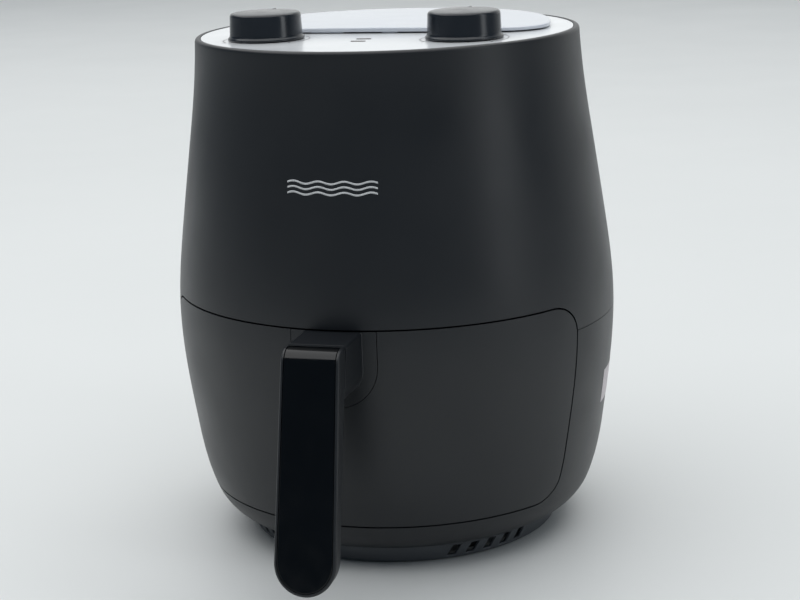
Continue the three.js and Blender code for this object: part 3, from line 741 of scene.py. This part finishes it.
piece(upper_housing(), "upper_housing_shell", SATIN, "housing", "satin_black_shell",
      "upper_housing", wall=UPPER_WALL, rounding=0.3)
piece(lower_housing(), "lower_housing_shell", SATIN, "housing", "satin_black_shell",
      "lower_housing", wall=WALL, rounding=0.3)
piece(drawer_front(), "drawer_front_shell", SATIN, "drawer", "satin_black_shell",
      "drawer_front", wall=WALL, rounding=0.4)
piece(handle_plate(), "handle_plate_shell", SATIN, "drawer", "satin_black_shell",
      "handle_plate", wall=WALL, rounding=0.35)


# ---------- handle ----------

def grip_front(z):
    return GRIP_TOP_Y - GRIP_LEAN * (GRIP_TOP_Z - z)


def grip_rear(z):
    return GRIP_REAR_Y - GRIP_REAR_LEAN * (GRIP_TOP_Z - z)


def grip_stations():
    """Right half of the grip's outline, from the tip up the side, over the bend and back.

    Each station is the outline point, the point on the middle line, and the outward normal.
    """
    lean = math.atan(GRIP_LEAN)
    front = Vector((0, -math.cos(lean), math.sin(lean)))
    round_z = GRIP_TIP_Z + GRIP_LOW_HALF
    stations = []
    for turn in levels(0, math.pi / 2, 20):
        x, z = GRIP_LOW_HALF * math.sin(turn), round_z - GRIP_LOW_HALF * math.cos(turn)
        middle = Vector((0, grip_front(round_z), round_z))
        stations.append((Vector((x, grip_front(z), z)), middle, front))
    bend_z = GRIP_TOP_Z - GRIP_BEND
    bend_y = grip_front(bend_z) + GRIP_BEND / math.cos(lean)
    taper = (GRIP_LOW_HALF - GRIP_TOP_HALF) / (GRIP_TOP_Z + 5 - round_z)
    for z in levels(round_z, bend_z + GRIP_BEND * math.sin(lean), 14)[1:]:
        half = GRIP_LOW_HALF - taper * (z - round_z)
        stations.append((Vector((half, grip_front(z), z)), Vector((0, grip_front(z), z)), front))
    half = GRIP_TOP_HALF + taper * 5
    for angle in levels(math.pi - lean, math.pi / 2, 10)[1:]:
        normal = Vector((0, math.cos(angle), math.sin(angle)))
        y, z = bend_y + GRIP_BEND * normal.y, bend_z + GRIP_BEND * normal.z
        stations.append((Vector((half, y, z)), Vector((0, y, z)), normal))
    up = Vector((0, 0, 1))
    for y in (FACE_REAR_Y, FACE_REAR_Y + GAP, GRIP_REAR_Y):
        stations.append((Vector((half, y, GRIP_TOP_Z)), Vector((0, y, GRIP_TOP_Z)), up))
    return stations


def under(station, inset, depth):
    """A point in from the outline and down from the surface. No inset means the middle line."""
    outline, middle, normal = station
    share = 1 if inset is None else inset / (middle - outline).length
    return outline.lerp(middle, share) - normal * depth


def behind(station, inset, radius):
    """The matching point on the grip's rear face, kept below the rounded top."""
    outline, middle, _ = station
    share = 1 if inset is None else inset / (middle - outline).length
    point = outline.lerp(middle, share)
    z = min(point.z, GRIP_TOP_Z - radius)
    return Vector((point.x, grip_rear(z), z))


def fillet(radius, count, inset=0):
    """Insets and depths round an edge."""
    turns = levels(0, math.pi / 2, count)
    return [(inset + radius * (1 - math.sin(a)), radius * (1 - math.cos(a))) for a in turns]


def mirrored(bm):
    bmesh.ops.mirror(bm, geom=bm.verts[:] + bm.edges[:] + bm.faces[:], axis="X", merge_dist=MERGE)
    close_holes(bm)
    return bm


def handle_grip():
    stations = grip_stations()
    pocket_end = len(stations) - 2
    pocket = FACE_DEPTH + GAP
    rim = FACE_INSET - GAP
    edge = 1.3
    stations.insert(pocket_end, stations[pocket_end])
    outer = fillet(edge, 5)
    rear = [(1.0, 0), (0.3, 0.3), (0, 1.0)]
    columns = 3 + len(outer) + len(rear) + 1

    def place(i, j):
        station = stations[i]
        depth = pocket if i <= pocket_end else 0
        if j == 0:
            return under(station, None, depth)
        if j == 1:
            return under(station, rim, depth)
        if j == 2:
            return under(station, rim, 0)
        if j - 3 < len(outer):
            return under(station, *outer[j - 3])
        if j < columns - 1:
            inset, forward = rear[::-1][j - 3 - len(outer)]
            point = behind(station, inset, edge)
            return point - Vector((0, forward, 0))
        return behind(station, None, edge)

    bm = bmesh.new()
    sheet(bm, len(stations) - 1, columns - 1, place)
    return mirrored(bm)


def handle_face():
    stations = grip_stations()[:-2]
    edge = fillet(0.5, 3, inset=FACE_INSET)
    columns = 3 + len(edge)

    def place(i, j):
        if j == 0:
            return under(stations[i], None, 0)
        if j <= len(edge):
            return under(stations[i], *edge[j - 1])
        return under(stations[i], FACE_INSET if j == columns - 2 else None, FACE_DEPTH)

    bm = bmesh.new()
    sheet(bm, len(stations) - 1, columns - 1, place)
    return mirrored(bm)


def neck_outline(flare):
    """The neck seen from the front: round below and level on top, with rounded upper corners."""
    half = NECK_HALF + flare
    corner = 1.6
    top = GRIP_TOP_Z
    points = arc(corner, half - corner, top - corner, 90, 0, 5)
    points += [(half, z) for z in levels(top - corner, NECK_ROUND_Z, 6)[1:-1]]
    points += arc(half, 0, NECK_ROUND_Z, 0, -180, 32)
    points += [(-half, z) for z in levels(NECK_ROUND_Z, top - corner, 6)[1:-1]]
    points += arc(corner, corner - half, top - corner, 180, 90, 5)
    points += [(x, top) for x in levels(corner - half, half - corner, 12)[1:-1]]
    return points


def handle_neck():
    # How far each section stands off the plate, and how much it flares there.
    sections = [(GAP, 0.7), (0.6, 0.35), (1.0, 0.1), (1.6, 0)]
    count = len(neck_outline(0))

    def place(i, j):
        off, flare = sections[min(i, len(sections) - 1)]
        x, z = neck_outline(flare)[j % count]
        if i < len(sections):
            return x, -math.sqrt(skin_radius(z) ** 2 - x * x) - off, z
        return x, grip_rear(z) + GAP, z

    bm = bmesh.new()
    sheet(bm, len(sections), count, place)
    close_holes(bm)
    return bm


piece(handle_grip(), "handle_grip_body", SATIN, "drawer", "satin_black_shell",
      "handle_grip", rounding=0.25)
piece(handle_face(), "handle_gloss_face", PIANO, "drawer", "gloss_black", "handle_face")
piece(handle_neck(), "handle_neck_body", SATIN, "drawer", "satin_black_shell",
      "handle_neck", rounding=0.2)


# ---------- top panel, dials and inlet ----------

DIALS = ("temperature", "timer")
LENSES = ("power_light", "heating_light")
PANEL_TOP_Z = span("top_panel")[1].z


def light_outline(node_name, grow=0):
    low, high = span(node_name)
    length, width = high.x - low.x + 2 * grow, high.y - low.y + 2 * grow
    return slot_outline(length, width, *centre_of(node_name), count=8)


def top_panel():
    low, high = span("top_panel")
    holes = [circle(SHAFT_HOLE_R, *centre_of(dial + "_knob"), count=32) for dial in DIALS]
    holes += [light_outline(lens, GAP) for lens in LENSES]
    return flat_plate(circle(PANEL_R, count=192), holes, low.z, high.z)


def dome_height(x, y):
    across, along = x / COVER_REACH[0], (y - COVER_MIDDLE_Y) / COVER_REACH[1]
    return COVER_TOP_Z - COVER_DROP * (across ** 2 + along ** 2)


def cover_outline(inset, count=96):
    """The D-shaped cover: a straight front, round corners and a round back."""
    front = span("air_inlet_cover")[0].y + inset
    radius, corner = COVER_R - inset, COVER_CORNER - inset
    corner_x = math.sqrt((radius - corner) ** 2 - (front + corner) ** 2)
    meet = math.degrees(math.atan2(front + corner, corner_x))
    points = arc(corner, corner_x, front + corner, -90, meet, 16)
    points += arc(radius, 0, 0, meet, 180 - meet, count)[1:]
    points += arc(corner, -corner_x, front + corner, 180 - meet, 270, 16)[1:]
    return points + [(x, front) for x in levels(-corner_x, corner_x, 24)[1:-1]]


def inlet_cover():
    outer, inner = cover_outline(0), cover_outline(1)
    count = len(outer)
    shares = [0.03, 0.08, 0.16, 0.28, 0.44, 0.62, 0.8, 1]
    edge = fillet(1, 5)[::-1]
    low_edge = [(0.4, 0), (0.12, 0.12), (0, 0.4)]

    def at(j, inset):
        (x0, y0), (x1, y1) = outer[j % count], inner[j % count]
        return x0 + (x1 - x0) * inset, y0 + (y1 - y0) * inset

    def rounding(j):
        return min(COVER_EDGE, 0.45 * (dome_height(*at(j, 0)) - COVER_LOW_Z))

    def place(i, j):
        if i == 0:
            return 0, COVER_MIDDLE_Y, COVER_LOW_Z
        if i <= len(low_edge):
            inset, rise = low_edge[i - 1]
            return *at(j, inset), COVER_LOW_Z + rise
        if i <= len(low_edge) + len(edge):
            inset, drop = edge[i - 1 - len(low_edge)]
            x, y = at(j, inset * rounding(j))
            return x, y, dome_height(x, y) - drop * rounding(j)
        share = shares[i - 1 - len(low_edge) - len(edge)]
        x, y = at(j, rounding(j))
        x, y = x * (1 - share), COVER_MIDDLE_Y + (y - COVER_MIDDLE_Y) * (1 - share)
        return x, y, dome_height(x, y)

    bm = bmesh.new()
    sheet(bm, len(low_edge) + len(edge) + len(shares), count, place)
    weld(bm)
    return bm


def inlet_grille():
    low = span("air_inlet_grille")[0]
    outer, inner = [cover_outline(inset) for inset in GRILLE_INSETS]
    return flat_plate(outer, [inner], low.z, low.z + GRILLE_THICKNESS)


def inlet_ribs():
    """The pale webs that carry the cover between its openings."""
    low, high = span("air_inlet_grille")
    bm = bmesh.new()
    for (_, left), (right, _) in zip(INLET_OPENINGS, INLET_OPENINGS[1:]):
        middle = (left + right) / 2
        outline = slot_outline(
            right - left, RIB_DEPTH, middle, low.y - RIB_AHEAD, corner=0.8, count=4)
        add_part(bm, flat_plate(outline, [], low.z + 0.05, high.z - 0.9))
    return bm


def light(node_name):
    low, high = span(node_name)
    return flat_plate(light_outline(node_name), [], low.z, high.z)


def knob(node_name):
    low, high = span(node_name)
    bore_end = high.z - KNOB_BORE_END
    edge = arc(KNOB_EDGE, KNOB_EDGE_R, high.z - KNOB_EDGE_DROP, 0, 80, 10)
    profile = [(0, bore_end), (KNOB_BORE_R, bore_end), (KNOB_BORE_R, low.z)]
    profile += [(r, low.z + rise) for r, rise in KNOB_FOOT] + edge
    profile += [(r, high.z - KNOB_CROWN * (r / 19) ** 2) for r in (17, 13, 9, 5, 2.5, 0)]
    return turned(profile, 128, centre_of(node_name))


def pointer(node_name):
    """A slim raised rib on the dial, towards its far edge."""
    x, y = centre_of(node_name)
    top = span(node_name)[1].z
    outline = slot_outline(*POINTER_SIZE, x, y + POINTER_R, corner=0.7)
    return flat_plate(outline, [], top - 1.4, top - 0.15)


def printed_flat(outlines, z, thickness=0.06):
    """Ink on a level surface."""
    bm = bmesh.new()
    for outline in outlines:
        add_part(bm, flat_plate(outline, [], z, z + thickness))
    return bm


def arc_stroke(x, y, radius, start, end, width=0.6, count=14):
    inner = arc(radius - width / 2, x, y, start, end, count)
    outer = arc(radius + width / 2, x, y, end, start, count)
    return inner + outer


def dial_marks(node_name):
    """An arc at each side of a dial, with a short stroke at the arc's ends."""
    x, y = centre_of(node_name)
    strokes = []
    for start in (-42, 138):
        strokes.append(arc_stroke(x, y, MARK_R, start, start + 84))
        for turn in (start, start + 84):
            angle = math.radians(turn)
            middle = MARK_R + 1.6
            strokes.append(slot_outline(
                2.2, 0.6, x + middle * math.cos(angle), y + middle * math.sin(angle), turn))
    return strokes


piece(top_panel(), "top_panel_disc", PANEL_WHITE, "housing", "gloss_white",
      "top_panel", rounding=0.35)
piece(inlet_cover(), "air_inlet_cover_dome", COVER_WHITE, "housing", "gloss_white",
      "air_inlet_cover")
piece(inlet_grille(), "air_inlet_grille_ribs", MATT, "housing", "matt_black_plastic",
      "air_inlet_grille", rounding=0.15)
piece(inlet_ribs(), "air_inlet_ribs", COVER_WHITE, "housing", "gloss_white", rounding=0.15)
for lens in LENSES:
    piece(light(lens), lens + "_lens", LENS, "housing", "smoked_lens", lens, rounding=0.4)
for dial in DIALS:
    piece(knob(dial + "_knob"), dial + "_knob_cap", GLOSS, dial + "_dial", "gloss_black",
          dial + "_knob")
    piece(pointer(dial + "_knob"), dial + "_knob_pointer", GLOSS, dial + "_dial", "gloss_black",
          rounding=0.3)
for dial in DIALS:
    piece(printed_flat(dial_marks(dial + "_knob"), PANEL_TOP_Z), dial + "_marks", DIAL_INK,
          "housing", "gloss_black")


# ---------- base ----------

def base_ring():
    """The tapering ring under the body, with slanted air slots at each side of the front."""
    (low_r, low_z), (high_r, high_z) = RING_LOW, RING_TOP
    heights = [low_z, 1.4] + levels(SLOT_LOW_Z, SLOT_TOP_Z, 4) + [9.4, 10.4, high_z]
    edges = []
    for i in range(SLOT_COUNT):
        middle = SLOT_FIRST + SLOT_STEP * i
        edges += [middle - SLOT_HALF, middle + SLOT_HALF]
    turns = list(range(0, 30, 3)) + edges + list(range(68, 181, 4))
    count = len(turns) - 1
    bm = bmesh.new()
    for side in (-1, 1):
        def place(i, j):
            z = heights[i]
            share = (z - low_z) / (high_z - low_z)
            radius = low_r + (high_r - low_r) * share
            shift = 0
            if turns[j] in edges:
                level = min(max(z, SLOT_LOW_Z), SLOT_TOP_Z)
                shift = SLOT_SLANT * (level - (SLOT_LOW_Z + SLOT_TOP_Z) / 2)
            return at_radius(radius, z, side * math.radians(turns[j] + shift))
        sheet(bm, len(heights) - 1, count, place)
    weld(bm)
    opened = [face for face in bm.faces if in_slot(face.calc_center_median())]
    bmesh.ops.delete(bm, geom=opened, context="FACES")
    face_out(bm)
    return bm


def in_slot(point):
    if not SLOT_LOW_Z < point.z < SLOT_TOP_Z:
        return False
    shift = SLOT_SLANT * (point.z - (SLOT_LOW_Z + SLOT_TOP_Z) / 2)
    azimuth = math.degrees(math.atan2(abs(point.x), -point.y)) - shift
    share = (azimuth - SLOT_FIRST + SLOT_HALF) / SLOT_STEP
    return 0 <= share < SLOT_COUNT and share % 1 * SLOT_STEP < 2 * SLOT_HALF


def base_floor():
    holes = [slot_outline(*FLOOR_SLOT, 0, FLOOR_SLOT_STEP * i) for i in range(-2, 3)]
    for name in CORNERS:
        holes.append(circle(SCREW_HOLE_R, *centre_of("base_screw_" + name), 24))
    top = span("base_cover")[1].z
    return flat_plate(circle(FLOOR_R, count=128), holes, FLOOR_LOW_Z, top)


def foot(name):
    low, high = span(name)
    radius = (high.x - low.x) / 2
    profile = [(0, 0.25), (3.2, 0.25), (3.6, 0), (6.2, 0), (6.9, 0.25), (7.35, 0.75), (radius, 1.4)]
    profile += [(radius, FOOT_TOP_Z), (0, FOOT_TOP_Z)]
    return turned(profile, 48, centre_of(name))


# The ring's material carries painted floor-bounce light in its greyer black.
piece(base_ring(), "base_ring", BASE_BLACK_WITH_PAINTED_BOUNCE, "housing", "matt_black_plastic", "base_cover",
      wall=RING_WALL, rounding=0.6, steps=3)
piece(base_floor(), "base_floor", MATT, "housing", "matt_black_plastic", "base_cover",
      rounding=0.3)
for corner_name in CORNERS:
    piece(foot("foot_" + corner_name), "foot_pad_" + corner_name, RUBBER, "housing", "rubber",
          "foot_" + corner_name)


# ---------- pan and crisper tray ----------

def pan():
    """A deep bowl with a rolled rim, given as (radius, height) points."""
    outside = [(0, 39), (72, 39), (77.5, 39.5), (81.2, 41), (83.9, 43.6), (85.7, 47), (86.4, 50.5)]
    outside += [(r, 50.5 + (r - 86.4) * 88.1 / 10.6) for r in levels(86.4, 97, 4)[1:]]
    rim = [(97.6, 139.3), (98.8, 139.7), (100.1, 139.9), (100.5, 140.4), (100.4, 141.1)]
    rim += [(99.8, 141.5), (96.6, 141.5), (95.8, 141.1), (95.4, 140.2)]
    inside = [(r, 50 + (r - 84.4) * 88.6 / 10.7) for r in levels(95.1, 84.4, 4)]
    inside += [(83.4, 46.6), (81.6, 43.9), (79, 42), (76, 41.2), (72, 41), (0, 41)]
    return turned(outside + rim + inside, 144)


def crisper_tray():
    """The tray's slotted disc."""
    low = span("crisper_tray")[0].z
    holes = [circle(TRAY_CENTRE_HOLE, count=40)]
    for radius, count, length in TRAY_SLOTS:
        for i in range(count):
            turn = 360 * (i + 0.5) / count
            angle = math.radians(turn)
            x, y = radius * math.cos(angle), radius * math.sin(angle)
            holes.append(slot_outline(length, TRAY_SLOT_WIDTH, x, y, turn))
    return flat_plate(circle(TRAY_DISC_R, count=144), holes, low, low + TRAY_SHEET)


def tray_skirt():
    """The upright rim round the tray's disc."""
    low, high = span("crisper_tray")
    line = [(TRAY_DISC_R, low.z + 0.1), (80.9, low.z + 0.2), (81.9, low.z + 0.8)]
    line += [(82.4, low.z + 1.8), (82.5, high.z - 0.5), (82.2, high.z)]
    line += [(81.4, high.z), (81.1, high.z - 0.5)]
    line += [(81, low.z + 3), (80.7, low.z + 1.9), (TRAY_DISC_R, low.z + 1.4)]
    return turned(line + line[:1], 144)


def tray_pad(name):
    low, high = span(name)
    middle = (low + high) / 2
    turn = math.atan2(middle.y, middle.x)
    reach = Vector((middle.x, middle.y)).length
    bm = block((reach - PAD_HALF_THICK, -PAD_HALF_WIDE, low.z),
               (reach + PAD_HALF_THICK, PAD_HALF_WIDE, high.z))
    bmesh.ops.rotate(bm, cent=(0, 0, 0), matrix=Matrix.Rotation(turn, 3, "Z"), verts=bm.verts)
    return bm


piece(pan(), "pan_bowl", NONSTICK, "drawer", "nonstick_coating", "pan")
piece(crisper_tray(), "crisper_tray_disc", NONSTICK, "crisper_tray", "nonstick_coating",
      "crisper_tray", rounding=0.35)
piece(tray_skirt(), "crisper_tray_skirt", NONSTICK, "crisper_tray", "nonstick_coating",
      "crisper_tray")
for number in range(1, 5):
    pad_name = f"tray_pad_{number}"
    piece(tray_pad(pad_name), pad_name + "_block", SILICONE, "crisper_tray", "silicone",
          pad_name, rounding=0.3)


# ---------- print on the front and the side ----------

def hot_air_mark():
    """Three plain wavy strokes, one above the other, on the front of the upper housing."""
    bm = bmesh.new()
    length, waves, swing, width = 53, 3.5, 0.75, 1.05
    columns, proud = 84, 0.07
    for middle in (229.3, 232.3, 235.3):
        def place(i, j):
            along = j / columns
            z = middle + swing * math.sin(2 * math.pi * waves * along) + width * (i / 2 - 0.5)
            return on_skin(z, length * (along - 0.5) / skin_radius(z), proud)
        sheet(bm, 2, columns, place)
    face_out(bm)
    return bm


def side_label():
    """A blank sticker on the right-hand side of the lower housing."""
    low, high, start, length = 79, 100, math.radians(86), 42
    rows, columns, proud = 8, 24, 0.09
    bm = bmesh.new()

    def place(i, j):
        z = low + (high - low) * i / rows
        return on_skin(z, start + length * j / columns / skin_radius(z), proud)

    sheet(bm, rows, columns, place)
    face_out(bm)
    return bm


piece(hot_air_mark(), "hot_air_mark", MARK_INK, "housing", "gloss_white", wall=0.05)
piece(side_label(), "blank_side_label", LABEL_PAPER, "housing", "gloss_white", wall=0.08)


# ---------- finishes of the CAD pieces that show as they are ----------

CAD_FINISHES = {
    BRIGHT_STEEL: ("element_guard", "heat_reflector", "base_screw_front_left",
                   "base_screw_front_right", "base_screw_rear_right", "base_screw_rear_left",
                   "control_bracket", "timer", "timer_bell", "temperature_shaft", "timer_shaft",
                   "motor_bracket", "motor_shaft", "hot_air_fan", "cooling_fan", "fan_nut",
                   "handle_screw_lower", "handle_screw_upper"),
    CHAMBER_STEEL: ("cooking_chamber", "chamber_ceiling", "rail_left", "rail_right",
                    "exhaust_duct"),
    ELEMENT_STEEL: ("heating_element",),
    INSULATOR: ("terminal_block", "thermostat", "thermal_fuse", "switch_plunger"),
    MOTOR_STEEL: ("motor",),
    MATT: ("drawer_switch", "switch_striker", "drawer_inner_cover", "cord_gland", "exhaust_vent"),
}


for look, names in CAD_FINISHES.items():
    for name in names:
        for material_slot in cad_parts[name].material_slots:
            material_slot.material = look


# ---------- camera, floor and light ----------

CAMERA_AZIMUTH = 16
CAMERA_DISTANCE = 1.1297
CAMERA_HEIGHT = 0.42195
CAMERA_PITCH = 14.15
CAMERA_PAN = 0.09
CAMERA_ROLL = -2.14
CAMERA_LENS = 83.49
CAMERA_SENSOR = 36
FLOOR_REACH = 6

WORLD_FRONT = (0.08, 0.105, 0.135)
WORLD_BACK = (0.86, 0.88, 0.88)
# How far from front to back the world's grade starts and ends.
WORLD_GRADE = (0.7, 0.97)


def set_camera():
    data = bpy.data.cameras.new("camera")
    data.lens = CAMERA_LENS
    data.sensor_width = CAMERA_SENSOR
    camera = bpy.data.objects.new("camera", data)
    bpy.context.scene.collection.objects.link(camera)
    azimuth = math.radians(CAMERA_AZIMUTH)
    place = Vector((math.sin(azimuth), -math.cos(azimuth), 0)) * CAMERA_DISTANCE
    place += Vector((0, AXIS_Y, CAMERA_HEIGHT))
    turn = Matrix.Rotation(math.radians(CAMERA_AZIMUTH - CAMERA_PAN), 4, "Z")
    turn @= Matrix.Rotation(math.radians(90 - CAMERA_PITCH), 4, "X")
    turn @= Matrix.Rotation(math.radians(CAMERA_ROLL), 4, "Z")
    camera.matrix_world = Matrix.Translation(place) @ turn
    bpy.context.scene.camera = camera


def set_floor():
    mesh = bpy.data.meshes.new("floor")
    bm = bmesh.new()
    bmesh.ops.create_grid(bm, x_segments=2, y_segments=2, size=FLOOR_REACH)
    bm.to_mesh(mesh)
    bm.free()
    mesh.materials.append(floor_finish())
    floor = bpy.data.objects.new("floor", mesh)
    bpy.context.scene.collection.objects.link(floor)


def soft_light(name, place, target, size, power, color=(1, 1, 1)):
    data = bpy.data.lights.new(name, "AREA")
    data.shape = "RECTANGLE"
    data.size, data.size_y = size
    data.energy = power
    data.color = color
    lamp = bpy.data.objects.new(name, data)
    bpy.context.scene.collection.objects.link(lamp)
    direction = Vector(target) - Vector(place)
    facing = direction.to_track_quat("-Z", "Y").to_matrix().to_4x4()
    lamp.matrix_world = Matrix.Translation(place) @ facing


def set_world():
    """A studio that is pale far behind the object and dark everywhere else."""
    world = bpy.data.worlds.new("studio")
    world.use_nodes = True
    tree = world.node_tree
    background = tree.nodes["Background"]
    direction = tree.nodes.new("ShaderNodeTexCoord")
    axes = tree.nodes.new("ShaderNodeSeparateXYZ")
    tree.links.new(direction.outputs["Generated"], axes.inputs["Vector"])
    ramp = tree.nodes.new("ShaderNodeValToRGB")
    spread = tree.nodes.new("ShaderNodeMapRange")
    spread.inputs["From Min"].default_value = -1
    tree.links.new(axes.outputs["Y"], spread.inputs["Value"])
    tree.links.new(spread.outputs["Result"], ramp.inputs["Fac"])
    first, last = ramp.color_ramp.elements
    first.position, first.color = WORLD_GRADE[0], (*WORLD_FRONT, 1)
    last.position, last.color = WORLD_GRADE[1], (*WORLD_BACK, 1)
    tree.links.new(ramp.outputs["Color"], background.inputs["Color"])
    bpy.context.scene.world = world


set_camera()
set_floor()
set_world()
bpy.context.scene.view_settings.view_transform = "Standard"
soft_light("overhead", place=(-0.9, 0.4, 3), target=(-0.9, 0.4, 0), size=(6, 6), power=195)
soft_light("right_window", place=(1.45, -0.36, 0.75), target=(0, 0, 0.2), size=(0.4, 1.2),
           power=3.4, color=(0.95, 0.98, 1))
